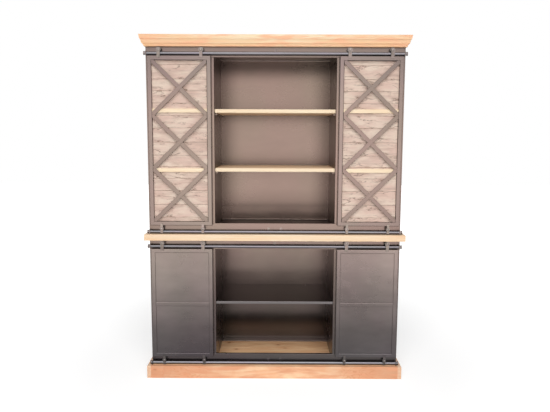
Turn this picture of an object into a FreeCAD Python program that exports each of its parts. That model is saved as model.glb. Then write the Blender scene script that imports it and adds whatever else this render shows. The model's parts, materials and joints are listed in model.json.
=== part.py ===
# Kitchen dresser in steel and wood: a lower cabinet on a plinth, a counter, an upper cabinet and a crown.
# Four doors hang from grooved wheels on round rails and slide from the side bays to the middle.
# Frame: +X to the right, -Y to the front, +Z up; the origin is under the middle of the whole box.
import FreeCAD, Part
import os
import re
import Sketcher
from FreeCAD import Rotation, Vector

doc = FreeCAD.newDocument("KitchenDresser")

# Driving dimensions in millimetres
SIZES = {
    # Stages from the floor up
    "body_width": 1620,
    "body_depth": 460,
    "plinth_height": 82,
    "lower_height": 835,
    "counter_thickness": 40,
    "upper_height": 1175,
    "crown_height": 68,
    # Wooden trim and how far it stands past the steel cabinets
    "base_overhang_side": 25,
    "base_overhang_front": 55,
    "plinth_board": 25,
    "floor_board": 20,
    "floor_board_count": 3,
    "counter_edge_radius": 3,
    "crown_overhang_side": 30,
    "crown_overhang_front": 60,
    "crown_seat": 20,
    "crown_band_foot": 42,
    "crown_band_lean": 5,
    "crown_fillet": 4,
    "crown_slope_run": 5,
    "crown_cove_run": 12,
    "crown_cove_rise": 18,
    "crown_cove_radius": 24,
    "crown_board": 20,
    # Steel sheet and the tubes of the face frames
    "sheet": 1.5,
    "tube_wall": 2,
    "face_tube": 25,
    "face_tube_depth": 20,
    "header_height": 62,
    "sill_height": 66,
    "middle_bay": 770,
    "upper_floor_rise": 25,
    "ceiling_drop": 20,
    # Shelves, measured from the floor of their cabinet
    "upper_shelf_low": 397,
    "upper_shelf_high": 770,
    "upper_shelf_thickness": 24,
    "lower_shelf_rise": 419,
    "lower_shelf_lip": 16,
    "shelf_setback": 15,
    "shelf_play": 0.5,
    "bearer": 12,
    "bearer_length": 300,
    "bearer_setback": 60,
    # Rails and what carries them
    "rail_radius": 10,
    "rail_drop": 41,
    "rail_rise": 14,
    "rail_end_reach": 2,
    "rail_cap_radius": 12,
    "rail_cap_length": 6,
    "bracket_thickness": 6,
    "bracket_inset": 4,
    "bracket_reach": 13,
    "tab_half_width": 8,
    "tab_thickness": 3,
    "tab_below": 8,
    "tab_above": 27,
    "tab_spacing": 80,
    "tab_post_radius": 5,
    "tab_screw_radius": 5,
    "tab_screw_head": 2.5,
    "tab_screw_margin": 6,
    # Doors
    "door_width": 396,
    "door_inset": 13,
    "door_depth": 25,
    "door_gap": 9,
    "door_bar": 26,
    "door_top_lap": 5,
    "door_bottom_rise": 56,
    "cross_bar": 25,
    "cross_bar_thickness": 4,
    "cross_count": 3,
    "plank_thickness": 8,
    "plank_back_gap": 1,
    "plank_joint": 0.8,
    "batten_thickness": 8,
    "panel_recess": 6,
    "mid_bar": 26,
    "mid_bar_rise": 343,
    # Hangers, wheels and guides
    "outer_hanger_inset": 73,
    "inner_hanger_inset": 60,
    "strap_width": 20,
    "strap_thickness": 4,
    "strap_head_radius": 13,
    "strap_lap": 12,
    "wheel_groove_radius": 11.5,
    "wheel_lip": 4,
    "wheel_width": 20,
    "wheel_gap": 0.3,
    "axle_radius": 4,
    "axle_clearance": 0.08,
    "bolt_head_radius": 8,
    "bolt_head": 4,
    "washer_radius": 7,
    "nut_radius": 8,
    "nut_thickness": 4,
    "guide_plate": 3,
    "guide_width": 16,
    "guide_head_radius": 12,
    "guide_bolt_rise": 22,
    "guide_foot_gap": 3,
    "guide_tip": 1.5,
}

# Places and lengths that follow from the driving dimensions
PLACES = {
    "half_body": "body_width / 2",
    "face_y": "(crown_overhang_front - body_depth) / 2",
    "back_y": "face_y + body_depth",
    "inner_back_y": "back_y - sheet",
    "frame_back_y": "face_y + face_tube_depth",
    "base_front_y": "face_y - base_overhang_front",
    "base_half": "half_body + base_overhang_side",
    "plinth_inner_y": "base_front_y + plinth_board",
    "plinth_back_y": "back_y - plinth_board",
    "floor_board_width": "(plinth_back_y - plinth_inner_y) / floor_board_count",
    "lower_base": "plinth_height",
    "lower_top": "lower_base + lower_height",
    "upper_base": "lower_top + counter_thickness",
    "upper_top": "upper_base + upper_height",
    "upper_floor": "upper_base + upper_floor_rise",
    "ceiling": "upper_top - ceiling_drop",
    "crown_top": "upper_top + crown_height",
    "crown_half": "half_body + crown_overhang_side",
    "crown_front_y": "face_y - crown_overhang_front",
    "crown_end_section": "crown_overhang_side + crown_seat",
    "crown_front_section": "crown_overhang_front + crown_seat",
    "crown_step": "crown_band_lean + crown_fillet",
    "crown_slope_foot": "crown_step + crown_slope_run",
    "crown_foot": "crown_slope_foot + crown_cove_run",
    "crown_depth": "back_y - crown_front_y",
    "crown_end_inner": "crown_half - crown_end_section",
    "crown_mitre_y": "crown_front_y + crown_end_section",
    "crown_front_back_y": "crown_front_y + crown_front_section",
    "half_bay": "middle_bay / 2",
    "post_outer": "half_bay + face_tube",
    "stile_inner": "half_body - face_tube",
    "side_inner": "half_body - sheet",
    "partition_outer": "half_bay + sheet",
    "upper_low_shelf_top": "upper_floor + upper_shelf_low",
    "upper_high_shelf_top": "upper_floor + upper_shelf_high",
    "lower_shelf_top": "lower_base + lower_shelf_rise",
    "middle_shelf_front_y": "face_y + shelf_setback",
    "side_shelf_front_y": "frame_back_y + shelf_play",
    "shelf_back_y": "inner_back_y - shelf_play",
    "bearer_front_y": "face_y + bearer_setback",
    "door_back_y": "face_y - door_gap",
    "door_front_y": "door_back_y - door_depth",
    "door_outer": "half_body - door_inset",
    "door_inner": "door_outer - door_width",
    "pane_inner": "door_inner + door_bar",
    "pane_outer": "door_outer - door_bar",
    "pane_width": "pane_outer - pane_inner",
    "plank_back_y": "door_back_y - plank_back_gap",
    "plank_front_y": "plank_back_y - plank_thickness",
    "upper_door_bottom": "upper_base + door_bottom_rise",
    "upper_door_top": "upper_top - header_height + door_top_lap",
    "lower_door_bottom": "lower_base + door_bottom_rise",
    "lower_door_top": "lower_top - header_height + door_top_lap",
    "cross_base": "upper_door_bottom + door_bar",
    "plank_field": "upper_door_top - door_bar - cross_base",
    "cell_height": "plank_field / cross_count",
    "cell_diagonal": "sqrt(pane_width ^ 2 + cell_height ^ 2)",
    "cross_cut_x": "cross_bar / 2 * cell_diagonal / cell_height",
    "cross_cut_z": "cross_bar / 2 * cell_diagonal / pane_width",
    "rail_y": "door_back_y - door_depth / 2",
    "rail_half": "half_body + rail_end_reach",
    "upper_top_rail": "upper_top - rail_drop",
    "upper_bottom_rail": "upper_base + rail_rise",
    "lower_top_rail": "lower_top - rail_drop",
    "lower_bottom_rail": "lower_base + rail_rise",
    "bracket_outer": "half_body - bracket_inset",
    "outer_hanger": "door_outer - outer_hanger_inset",
    "inner_hanger": "door_inner + inner_hanger_inset",
    "wheel_radius": "wheel_groove_radius + wheel_lip",
    "wheel_pitch": "rail_radius + wheel_gap + wheel_groove_radius",
    "groove_radius": "rail_radius + wheel_gap",
    "wheel_half": "wheel_width / 2",
    "groove_half": "sqrt(groove_radius ^ 2 - (wheel_pitch - wheel_radius) ^ 2)",
    "wheel_bore": "axle_radius + axle_clearance",
    "wheel_front_y": "rail_y - wheel_half - wheel_gap",
    "wheel_back_y": "rail_y + wheel_half + wheel_gap",
    "strap_front_y": "door_front_y - strap_thickness",
    "strap_neck": "sqrt(strap_head_radius ^ 2 - (strap_width / 2) ^ 2)",
    "guide_neck": "sqrt(guide_head_radius ^ 2 - (guide_width / 2) ^ 2)",
}

sheet = doc.addObject("Spreadsheet::Sheet", "Sizes")
for row, (alias, entry) in enumerate(list(SIZES.items()) + list(PLACES.items()), start=1):
    content = entry if alias in SIZES else "=" + entry
    sheet.set(f"A{row}", alias)
    sheet.set(f"B{row}", str(content))
    sheet.setAlias(f"B{row}", alias)
doc.recompute()

# Each side's direction along X
SIDES = {"left": -1, "right": 1}
ALONG = {"x": Rotation(Vector(0, 1, 0), 90), "y": Rotation(Vector(1, 0, 0), -90)}
NODES = {}
# How far along its run and its rise, as a share of them, the crown's cove passes
COVE_SHARE = 0.6
# Places this close, as a share of the sheet's thickness, count as the same
CLOSE_SHARE = 0.01


def bound(text):
    """An expression whose names are cells of the sheet."""
    return re.sub(r"\b(?!sqrt\b)([a-z]\w*)", r"Sizes.\1", text)


def value(text):
    """What an expression comes to now."""
    return float(sheet.evalExpression(text))


def count(text):
    """A whole number of things from the sheet."""
    return round(value(text))


def place(thing, x="0", y="0", z="0"):
    """Binds where an object's own origin lies."""
    for axis, text in (("x", x), ("y", y), ("z", z)):
        thing.setExpression("Placement.Base." + axis, bound(text))
    return thing


def mirrored(side, start, end):
    """A span along X on the left or the right of the middle."""
    return (start, end) if side > 0 else (f"-({end})", f"-({start})")


def signed(side, text):
    """A place along X on the left or the right of the middle."""
    return text if side > 0 else f"-({text})"


def box(name, x, y, z):
    """A block between the given starts and ends."""
    block = doc.addObject("Part::Box", name)
    for size, (start, end) in (("Length", x), ("Width", y), ("Height", z)):
        block.setExpression(size, bound(f"({end}) - ({start})"))
    return place(block, x[0], y[0], z[0])


def tube(name, along, x, y, z):
    """A square tube between the given starts and ends, open at both ends along one axis."""
    spans = {"x": x, "y": y, "z": z}
    inner = {
        axis: span if axis == along else (f"{span[0]} + tube_wall", f"{span[1]} - tube_wall")
        for axis, span in spans.items()
    }
    return cut(name, box(name + "Outside", x, y, z), box(name + "Inside", **inner))


def rod(name, axis, radius, start, end, across, height):
    """A round bar along X or Y; across is its place along the other level axis."""
    bar = doc.addObject("Part::Cylinder", name)
    bar.Placement.Rotation = ALONG[axis]
    bar.setExpression("Radius", bound(radius))
    bar.setExpression("Height", bound(f"({end}) - ({start})"))
    if axis == "x":
        return place(bar, start, across, height)
    return place(bar, across, start, height)


def nut(name, radius, start, end, across, height):
    """A six-sided bar along Y."""
    prism = doc.addObject("Part::Prism", name)
    prism.Polygon = 6
    prism.Placement.Rotation = ALONG["y"]
    prism.setExpression("Circumradius", bound(radius))
    prism.setExpression("Height", bound(f"({end}) - ({start})"))
    return place(prism, across, start, height)


def cut(name, base, tool):
    """One shape less another."""
    result = doc.addObject("Part::Cut", name)
    result.Base = base
    result.Tool = tool
    return result


def joined(name, shapes, kind="Part::MultiFuse"):
    """Shapes fused into one, or what they have in common."""
    result = doc.addObject(kind, name)
    result.Shapes = shapes
    return result


def outline(body, role, points, arcs=None):
    """A closed sketch on one of a body's own planes, fixed by the places of its corners.

    arcs gives, for the side that starts at a corner, its radius and a point that it passes.
    """
    arcs = arcs or {}
    plane = next(item for item in body.Origin.OriginFeatures if item.Role == role)
    sketch = body.newObject("Sketcher::SketchObject", body.Name + "Outline")
    sketch.AttachmentSupport = [(plane, "")]
    sketch.MapMode = "FlatFace"
    corners = [Vector(value(x), value(y), 0) for x, y in points]
    last = len(corners)
    ends = []
    for index, corner in enumerate(corners):
        following = corners[(index + 1) % last]
        side = Part.LineSegment(corner, following)
        flipped = False
        if index in arcs:
            _, (x, y) = arcs[index]
            through = Vector(value(x), value(y), 0)
            side = Part.Arc(corner, through, following)
            # A sketch counts an arc's ends anticlockwise
            flipped = (through - corner).cross(following - through).z < 0
        if flipped:
            side = Part.Arc(following, through, corner)
        sketch.addGeometry(side, False)
        ends.append((2, 1) if flipped else (1, 2))
    for index, (_, end) in enumerate(ends):
        following = (index + 1) % last
        sketch.addConstraint(Sketcher.Constraint("Coincident", index, end, following, ends[following][0]))
    for index, (corner, texts) in enumerate(zip(corners, points)):
        for kind, text, now in zip("XY", texts, corner):
            tie = Sketcher.Constraint("Distance" + kind, -1, 1, index, ends[index][0], now)
            bind(sketch, tie, f"corner{index}{kind}", text)
    for index, (radius, _) in arcs.items():
        tie = Sketcher.Constraint("Radius", index, value(radius))
        bind(sketch, tie, f"radius{index}", radius)
    return sketch


def bind(sketch, tie, name, text):
    """Adds a named constraint whose size is an expression."""
    sketch.renameConstraint(sketch.addConstraint(tie), name)
    sketch.setExpression("Constraints." + name, bound(text))


def padded(name, role, points, length, arcs=None):
    """A body padded from its outline, square to the outline's plane."""
    body = doc.addObject("PartDesign::Body", name)
    sketch = outline(body, role, points, arcs)
    pad = body.newObject("PartDesign::Pad", name + "Pad")
    pad.Profile = sketch
    pad.setExpression("Length", bound(length))
    return body


def node(label, *members):
    """Makes one sub-part of the dresser out of one object or several."""
    if len(members) == 1:
        whole = members[0]
    else:
        whole = doc.addObject("Part::Compound", label)
        whole.Links = list(members)
    whole.Label = label
    NODES[label] = whole


def plinth():
    """Four boards on edge, and the floor boards that lie between them."""
    z = ("0", "plinth_height")
    long_boards = [
        box("PlinthFront", ("-base_half", "base_half"), ("base_front_y", "plinth_inner_y"), z),
        box("PlinthBack", ("-base_half", "base_half"), ("plinth_back_y", "back_y"), z),
    ]
    node("plinth_long_boards", *long_boards)
    y = ("plinth_inner_y", "plinth_back_y")
    ends = [box("PlinthEnd", mirrored(side, "half_body", "base_half"), y, z) for side in SIDES.values()]
    node("plinth_end_boards", *ends)
    x = ("-half_body", "half_body")
    z = ("plinth_height - floor_board", "plinth_height")
    boards = []
    for index in range(count("floor_board_count")):
        front = f"plinth_inner_y + {index} * floor_board_width"
        boards.append(box("FloorBoard", x, (front, f"{front} + floor_board_width"), z))
    node("floor_boards", *boards)


def counter():
    """The board between the two cabinets, with its front and end edges eased."""
    plan = [
        ("-base_half", "base_front_y"),
        ("base_half", "base_front_y"),
        ("base_half", "back_y"),
        ("-base_half", "back_y"),
    ]
    body = padded("Counter", "XY_Plane", plan, "counter_thickness")
    doc.recompute()
    front = value("base_front_y")
    half = value("base_half")
    close = value("sheet") * CLOSE_SHARE
    eased = []
    for index, edge in enumerate(body.Shape.Edges, start=1):
        middle = edge.BoundBox.Center
        level = edge.BoundBox.ZLength < close
        if level and (abs(middle.y - front) < close or abs(abs(middle.x) - half) < close):
            eased.append(f"Edge{index}")
    pad = body.Tip
    fillet = body.newObject("PartDesign::Fillet", "CounterEdges")
    fillet.Base = (pad, eased)
    fillet.setExpression("Radius", bound("counter_edge_radius"))
    place(body, z="lower_top")
    node("counter_board", body)


def crown_profile(depth):
    """The moulding's section: a leaning band, a step, a slope and a cove, set in from the outer edge."""
    points = [
        (depth, "0"),
        ("crown_foot", "0"),
        ("crown_slope_foot", "crown_cove_rise"),
        ("crown_step", "crown_band_foot"),
        ("crown_band_lean", "crown_band_foot"),
        ("0", "crown_height"),
        (depth, "crown_height"),
    ]
    through = (f"crown_slope_foot + crown_cove_run * {COVE_SHARE}", f"crown_cove_rise * {COVE_SHARE}")
    return points, {1: ("crown_cove_radius", through)}


def crown():
    """Mitred mouldings on the front and the ends, and the board between them."""
    points, arcs = crown_profile("crown_front_section")
    front = padded("CrownFrontStrip", "YZ_Plane", points, "crown_half * 2", arcs)
    place(front, "-crown_half", "crown_front_y", "upper_top")
    plan = [
        ("-crown_half", "crown_front_y"),
        ("crown_half", "crown_front_y"),
        ("crown_end_inner", "crown_mitre_y"),
        ("crown_end_inner", "crown_front_back_y"),
        ("-crown_end_inner", "crown_front_back_y"),
        ("-crown_end_inner", "crown_mitre_y"),
    ]
    front_plan = place(padded("CrownFrontPlan", "XY_Plane", plan, "crown_height"), z="upper_top")
    node("crown_front_moulding", joined("CrownFront", [front, front_plan], "Part::MultiCommon"))
    ends = []
    for side in SIDES.values():
        points, arcs = crown_profile("crown_end_section")
        points = mirror_profile(points, side)
        strip = padded("CrownEndStrip", "XZ_Plane", points, "crown_depth", mirror_arcs(arcs, side))
        place(strip, signed(side, "crown_half"), "back_y", "upper_top")
        plan = [
            (signed(side, "crown_half"), "crown_front_y"),
            (signed(side, "crown_end_inner"), "crown_mitre_y"),
            (signed(side, "crown_end_inner"), "back_y"),
            (signed(side, "crown_half"), "back_y"),
        ]
        end_plan = place(padded("CrownEndPlan", "XY_Plane", plan, "crown_height"), z="upper_top")
        ends.append(joined("CrownEnd", [strip, end_plan], "Part::MultiCommon"))
    node("crown_end_mouldings", *ends)
    z = ("crown_top - crown_board", "crown_top")
    x = ("-crown_end_inner", "crown_end_inner")
    node("crown_top_board", box("CrownBoard", x, ("crown_front_back_y", "back_y"), z))


def mirror_profile(points, side):
    """A section set in from the right end, or from the left end."""
    return [(signed(-side, x), z) for x, z in points]


def mirror_arcs(arcs, side):
    """The arcs of a section set in from the right end, or from the left end."""
    return {index: (radius, (signed(-side, x), z)) for index, (radius, (x, z)) in arcs.items()}


def cabinet(stage, floor, ceiling):
    """Side sheets, partitions, back panel and face frame of one cabinet."""
    base, top = stage + "_base", stage + "_top"
    behind_frame = ("frame_back_y", "inner_back_y")
    for name, side in SIDES.items():
        x = mirrored(side, "side_inner", "half_body")
        node(f"{stage}_{name}_side", box("Side", x, ("face_y", "back_y"), (base, top)))
        x = mirrored(side, "half_bay", "partition_outer")
        node(f"{stage}_{name}_partition", box("Partition", x, behind_frame, (floor, ceiling)))
    x = ("-side_inner", "side_inner")
    node(f"{stage}_back_panel", box("Back", x, ("inner_back_y", "back_y"), (base, top)))
    y = ("face_y", "frame_back_y")
    upright = (f"{base} + sill_height", f"{top} - header_height")
    bars = [
        tube("Header", "x", x, y, (upright[1], top)),
        tube("Sill", "x", x, y, (base, upright[0])),
    ]
    for side in SIDES.values():
        bars.append(tube("Stile", "z", mirrored(side, "stile_inner", "side_inner"), y, upright))
        bars.append(tube("Post", "z", mirrored(side, "half_bay", "post_outer"), y, upright))
    node(f"{stage}_face_frame", *bars)


def upper_sheets():
    """The floor and the ceiling of the upper cabinet."""
    x = ("-side_inner", "side_inner")
    y = ("frame_back_y", "inner_back_y")
    node("upper_floor_sheet", box("UpperFloor", x, y, ("upper_floor - sheet", "upper_floor")))
    node("upper_ceiling_sheet", box("UpperCeiling", x, y, ("ceiling", "ceiling + sheet")))


def bays():
    """The span along X and the front of the shelf in each bay, from left to right."""
    side_bay = ("partition_outer + shelf_play", "side_inner - shelf_play")
    middle = ("shelf_play - half_bay", "half_bay - shelf_play")
    return [
        (mirrored(-1, *side_bay), "side_shelf_front_y"),
        (middle, "middle_shelf_front_y"),
        (mirrored(1, *side_bay), "side_shelf_front_y"),
    ]


def shelves():
    """Wooden shelves above, folded steel shelves below, and the bearers under their ends."""
    boards, folded, bearers = [], [], []
    for x, front in bays():
        y = (front, "shelf_back_y")
        for top in ("upper_low_shelf_top", "upper_high_shelf_top"):
            under = f"{top} - upper_shelf_thickness"
            boards.append(box("Shelf", x, y, (under, top)))
            bearers += shelf_bearers(x, under)
        folded.append(folded_shelf(x, y))
        bearers += shelf_bearers(x, "lower_shelf_top - sheet")
    node("upper_shelves", *boards)
    node("lower_shelves", *folded)
    node("shelf_bearers", *bearers)


def folded_shelf(x, y):
    """A sheet with its front and back edges folded down."""
    lip = ("lower_shelf_top - lower_shelf_lip", "lower_shelf_top")
    sheets = [
        box("ShelfSheet", x, y, ("lower_shelf_top - sheet", "lower_shelf_top")),
        box("ShelfLip", x, (y[0], f"{y[0]} + sheet"), lip),
        box("ShelfLip", x, (f"{y[1]} - sheet", y[1]), lip),
    ]
    return joined("FoldedShelf", sheets)


def shelf_bearers(x, under):
    """Two square bars under the ends of one shelf, against the sheets beside it."""
    y = ("bearer_front_y", "bearer_front_y + bearer_length")
    z = (f"{under} - bearer", under)
    left = (f"{x[0]} - shelf_play", f"{x[0]} - shelf_play + bearer")
    right = (f"{x[1]} + shelf_play - bearer", f"{x[1]} + shelf_play")
    return [box("Bearer", left, y, z), box("Bearer", right, y, z)]


def rails():
    """Round rails with their end brackets and caps, and the tabs that hold them at the middle."""
    brackets, tabs = [], []
    for place_name in ("top", "bottom"):
        bars = []
        for stage in ("upper", "lower"):
            z = f"{stage}_{place_name}_rail"
            bars.append(rod("Rail", "x", "rail_radius", "-rail_half", "rail_half", "rail_y", z))
            brackets += end_brackets(z)
            spots = ("0",) if place_name == "top" else ("-tab_spacing / 2", "tab_spacing / 2")
            for spot in spots:
                tabs.append(middle_tab(spot, z))
        node(f"{place_name}_rails", *bars)
    node("rail_end_brackets", *brackets)
    node("rail_middle_tabs", *tabs)


def end_brackets(z):
    """A plate from the face frame round each end of a rail, and a cap on the rail's end."""
    pieces = []
    for side in SIDES.values():
        x = mirrored(side, "bracket_outer - bracket_thickness", "bracket_outer")
        height = (f"{z} - bracket_reach", f"{z} + bracket_reach")
        plate = box("Bracket", x, ("rail_y - bracket_reach", "face_y"), height)
        hole = rod("BracketHole", "x", "rail_radius", x[0], x[1], "rail_y", z)
        pieces.append(cut("BracketPlate", plate, hole))
        x = mirrored(side, "rail_half", "rail_half + rail_cap_length")
        pieces.append(rod("RailCap", "x", "rail_cap_radius", x[0], x[1], "rail_y", z))
    return pieces


def middle_tab(x, z):
    """A plate on the face frame with a post that reaches the rail and a screw above it."""
    y = ("face_y - tab_thickness", "face_y")
    width = (f"{x} - tab_half_width", f"{x} + tab_half_width")
    plate = box("Tab", width, y, (f"{z} - tab_below", f"{z} + tab_above"))
    post = rod("TabPost", "y", "tab_post_radius", "rail_y + rail_radius", y[0], x, z)
    height = f"{z} + tab_above - tab_screw_margin"
    screw = rod("TabScrew", "y", "tab_screw_radius", f"{y[0]} - tab_screw_head", y[0], x, height)
    return joined("RailTab", [plate, post, screw])


def door_bars(bottom, top, side):
    """The two uprights of a door's frame with their end caps, and its top and bottom bars."""
    y = ("door_front_y", "door_back_y")
    across = mirrored(side, "pane_inner", "pane_outer")
    bars = [
        tube("DoorRail", "x", across, y, (f"{top} - door_bar", top)),
        tube("DoorRail", "x", across, y, (bottom, f"{bottom} + door_bar")),
    ]
    for edges in (("pane_outer", "door_outer"), ("door_inner", "pane_inner")):
        x = mirrored(side, *edges)
        bars.append(tube("DoorStile", "z", x, y, (f"{bottom} + tube_wall", f"{top} - tube_wall")))
        bars.append(box("DoorCap", x, y, (bottom, f"{bottom} + tube_wall")))
        bars.append(box("DoorCap", x, y, (f"{top} - tube_wall", top)))
    return bars


def cross(cell, x):
    """One cross: a whole bar from corner to corner and two half bars that meet its sides."""
    whole = [
        ("0", "0"),
        ("cross_cut_x", "0"),
        ("pane_width", "cell_height - cross_cut_z"),
        ("pane_width", "cell_height"),
        ("pane_width - cross_cut_x", "cell_height"),
        ("0", "cross_cut_z"),
    ]
    low_half = [
        ("pane_width - cross_cut_x", "0"),
        ("pane_width", "0"),
        ("pane_width", "cross_cut_z"),
        ("pane_width / 2 + cross_cut_x", "cell_height / 2"),
        ("pane_width / 2", "cell_height / 2 - cross_cut_z"),
    ]
    high_half = [(f"pane_width - ({across})", f"cell_height - ({height})") for across, height in low_half]
    bars = []
    for points in (whole, low_half, high_half):
        bar = padded("CrossBar", "XZ_Plane", points, "cross_bar_thickness")
        bars.append(place(bar, x, "door_front_y + cross_bar_thickness", f"cross_base + {cell} * cell_height"))
    return bars


# Heights of one door's planks from the bottom up, as shares of the height that they fill
PLANK_SHARES = (
    0.026, 0.081, 0.088, 0.079, 0.073, 0.071, 0.082,
    0.088, 0.077, 0.076, 0.074, 0.072, 0.086, 0.027,
)


def planks(x):
    """Level boards behind the crosses, laid edge to edge."""
    boards = []
    below = 0
    for share in PLANK_SHARES:
        foot = f"cross_base + plank_field * {below:.3f}"
        below += share
        head = f"cross_base + plank_field * {below:.3f}"
        boards.append(box("Plank", x, ("plank_front_y", "plank_back_y"), (foot, f"{head} - plank_joint")))
    return boards


def upper_door(name, side):
    """A steel frame with crosses over planks, and two light battens in line with the shelves."""
    label = f"upper_{name}_door"
    node(f"{label}_frame", *door_bars("upper_door_bottom", "upper_door_top", side))
    x = mirrored(side, "pane_inner", "pane_outer")
    bars = []
    for cell in range(count("cross_count")):
        bars += cross(cell, x[0])
    node(f"{label}_cross_bars", *bars)
    node(f"{label}_planks", *planks(x))
    y = ("plank_front_y - batten_thickness", "plank_front_y")
    battens = [
        box("Batten", x, y, (f"{top} - upper_shelf_thickness", top))
        for top in ("upper_low_shelf_top", "upper_high_shelf_top")
    ]
    node(f"{label}_battens", *battens)
    hang(label, side, "upper_top_rail", "upper_door_top", "upper_bottom_rail", "upper_door_bottom")


def lower_door(name, side):
    """A steel frame with a middle bar and two sheet panels set back in it."""
    label = f"lower_{name}_door"
    x = mirrored(side, "pane_inner", "pane_outer")
    low, high = "lower_door_bottom + mid_bar_rise", "lower_door_bottom + mid_bar_rise + mid_bar"
    bars = door_bars("lower_door_bottom", "lower_door_top", side)
    bars.append(tube("MidBar", "x", x, ("door_front_y", "door_back_y"), (low, high)))
    node(f"{label}_frame", *bars)
    y = ("door_front_y + panel_recess", "door_front_y + panel_recess + sheet")
    panels = [
        box("Panel", x, y, ("lower_door_bottom + door_bar", low)),
        box("Panel", x, y, (high, "lower_door_top - door_bar")),
    ]
    node(f"{label}_panels", *panels)
    hang(label, side, "lower_top_rail", "lower_door_top", "lower_bottom_rail", "lower_door_bottom")


def hang(label, side, top_rail, door_top, bottom_rail, door_bottom):
    """Straps, wheels, guides and bolts at the two hanging points of a door."""
    straps, guides, bolts = [], [], []
    for spot in ("outer", "inner"):
        x = signed(side, f"{spot}_hanger")
        axle = f"{top_rail} + wheel_pitch"
        straps.append(strap(x, axle, f"{axle} - ({door_top}) + strap_lap"))
        bolts += hanger_bolt(x, axle)
        node(f"{label}_{spot}_wheel", wheel(x, axle))
        pin = f"{bottom_rail} + guide_bolt_rise"
        guides += guide(x, pin, f"{door_bottom} + strap_lap - ({pin})", bottom_rail)
        bolts.append(guide_bolt(x, pin))
    node(f"{label}_hanger_straps", *straps)
    node(f"{label}_guide_brackets", *guides)
    node(f"{label}_bolts", *bolts)


def strap(x, axle, drop):
    """A flat bar on the door's face with a round head at the axle."""
    half = "strap_width / 2"
    points = [
        (f"-{half}", f"-({drop})"),
        (half, f"-({drop})"),
        (half, "-strap_neck"),
        (f"-{half}", "-strap_neck"),
    ]
    arcs = {2: ("strap_head_radius", ("0", "strap_head_radius"))}
    bar = place(padded("Strap", "XZ_Plane", points, "strap_thickness", arcs), x, "door_front_y", axle)
    hole = rod("StrapHole", "y", "axle_radius", "strap_front_y", "door_front_y", x, axle)
    return cut("HangerStrap", bar, hole)


def hanger_bolt(x, axle):
    """A bolt that the wheel turns on, a washer in front of the wheel and a nut behind it."""
    nut_back = "wheel_back_y + nut_thickness"
    head = rod("BoltHead", "y", "bolt_head_radius", "strap_front_y - bolt_head", "strap_front_y", x, axle)
    shank = rod("BoltShank", "y", "axle_radius", "strap_front_y", nut_back, x, axle)
    washer = rod("Washer", "y", "washer_radius", "door_front_y", "wheel_front_y", x, axle)
    washer_hole = rod("WasherHole", "y", "axle_radius", "door_front_y", "wheel_front_y", x, axle)
    hexagon = nut("Nut", "nut_radius", "wheel_back_y", nut_back, x, axle)
    nut_hole = rod("NutHole", "y", "axle_radius", "wheel_back_y", nut_back, x, axle)
    return [
        joined("HangerBolt", [head, shank]),
        cut("HangerWasher", washer, washer_hole),
        cut("HangerNut", hexagon, nut_hole),
    ]


def wheel(x, axle):
    """A turned wheel whose groove runs on the rail."""
    body = doc.addObject("PartDesign::Body", "Wheel")
    points = [
        ("-wheel_half", "wheel_bore"),
        ("wheel_half", "wheel_bore"),
        ("wheel_half", "wheel_radius"),
        ("groove_half", "wheel_radius"),
        ("-groove_half", "wheel_radius"),
        ("-wheel_half", "wheel_radius"),
    ]
    sketch = outline(body, "YZ_Plane", points, {3: ("groove_radius", ("0", "wheel_groove_radius"))})
    turned = body.newObject("PartDesign::Revolution", "WheelTurning")
    turned.Profile = sketch
    turned.ReferenceAxis = (sketch, ["H_Axis"])
    turned.Angle = 360
    return place(body, x, "rail_y", axle)


def guide(x, pin, rise, rail):
    """Two cheeks that hold the door's foot to the bottom rail, one before it and one behind."""
    half = "guide_width / 2"
    foot = f"{pin} - ({rail}) + rail_radius - guide_foot_gap"
    points = [
        (f"-{half}", f"-({foot})"),
        (half, f"-({foot})"),
        (half, "-guide_neck"),
        (half, "guide_neck"),
        (half, rise),
        (f"-{half}", rise),
        (f"-{half}", "guide_neck"),
        (f"-{half}", "-guide_neck"),
    ]
    arcs = {
        2: ("guide_head_radius", ("guide_head_radius", "0")),
        6: ("guide_head_radius", ("-guide_head_radius", "0")),
    }
    cheeks = []
    for back in ("door_front_y", "door_back_y + guide_plate"):
        cheek = place(padded("Cheek", "XZ_Plane", points, "guide_plate", arcs), x, back, pin)
        hole = rod("CheekHole", "y", "axle_radius", f"{back} - guide_plate", back, x, pin)
        cheeks.append(cut("GuideCheek", cheek, hole))
    return cheeks


def guide_bolt(x, pin):
    """A bolt through both cheeks of a guide, above the rail."""
    face = "door_front_y - guide_plate"
    head = rod("GuideBoltHead", "y", "bolt_head_radius", f"{face} - bolt_head", face, x, pin)
    shank = rod("GuideBoltShank", "y", "axle_radius", face, "door_back_y + guide_plate + guide_tip", x, pin)
    return joined("GuideBolt", [head, shank])


plinth()
cabinet("lower", "lower_base", "lower_top")
counter()
cabinet("upper", "upper_floor", "ceiling")
upper_sheets()
crown()
shelves()
rails()
for name, side in SIDES.items():
    upper_door(name, side)
    lower_door(name, side)
doc.recompute()

for thing in doc.Objects:
    if "Invalid" in thing.State or "Error" in thing.State:
        raise RuntimeError(f"{thing.Label} could not be built: {thing.State}")
for label, thing in NODES.items():
    if thing.Shape.isNull() or not thing.Shape.isValid():
        raise RuntimeError(f"{label} has no sound shape")

os.makedirs("parts", exist_ok=True)
for label, thing in NODES.items():
    thing.Shape.exportStep(f"parts/{label}.step")
print(len(NODES), "sub-parts,", sum(len(thing.Shape.Solids) for thing in NODES.values()), "solids")
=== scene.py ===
# %% [markdown]
# # A kitchen dresser in steel and wood
# The dresser is two lacquered steel cabinets with a wooden plinth, counter, shelves and crown.
# Four doors hang from grooved wheels on round rails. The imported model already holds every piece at
# its real size, so this lesson is about looks: softened edges, rough boards, grain, and steel that
# shines a little under a soft lamp.

import json
import math

import bmesh
import bpy
from mathutils import Matrix, Vector

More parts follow.
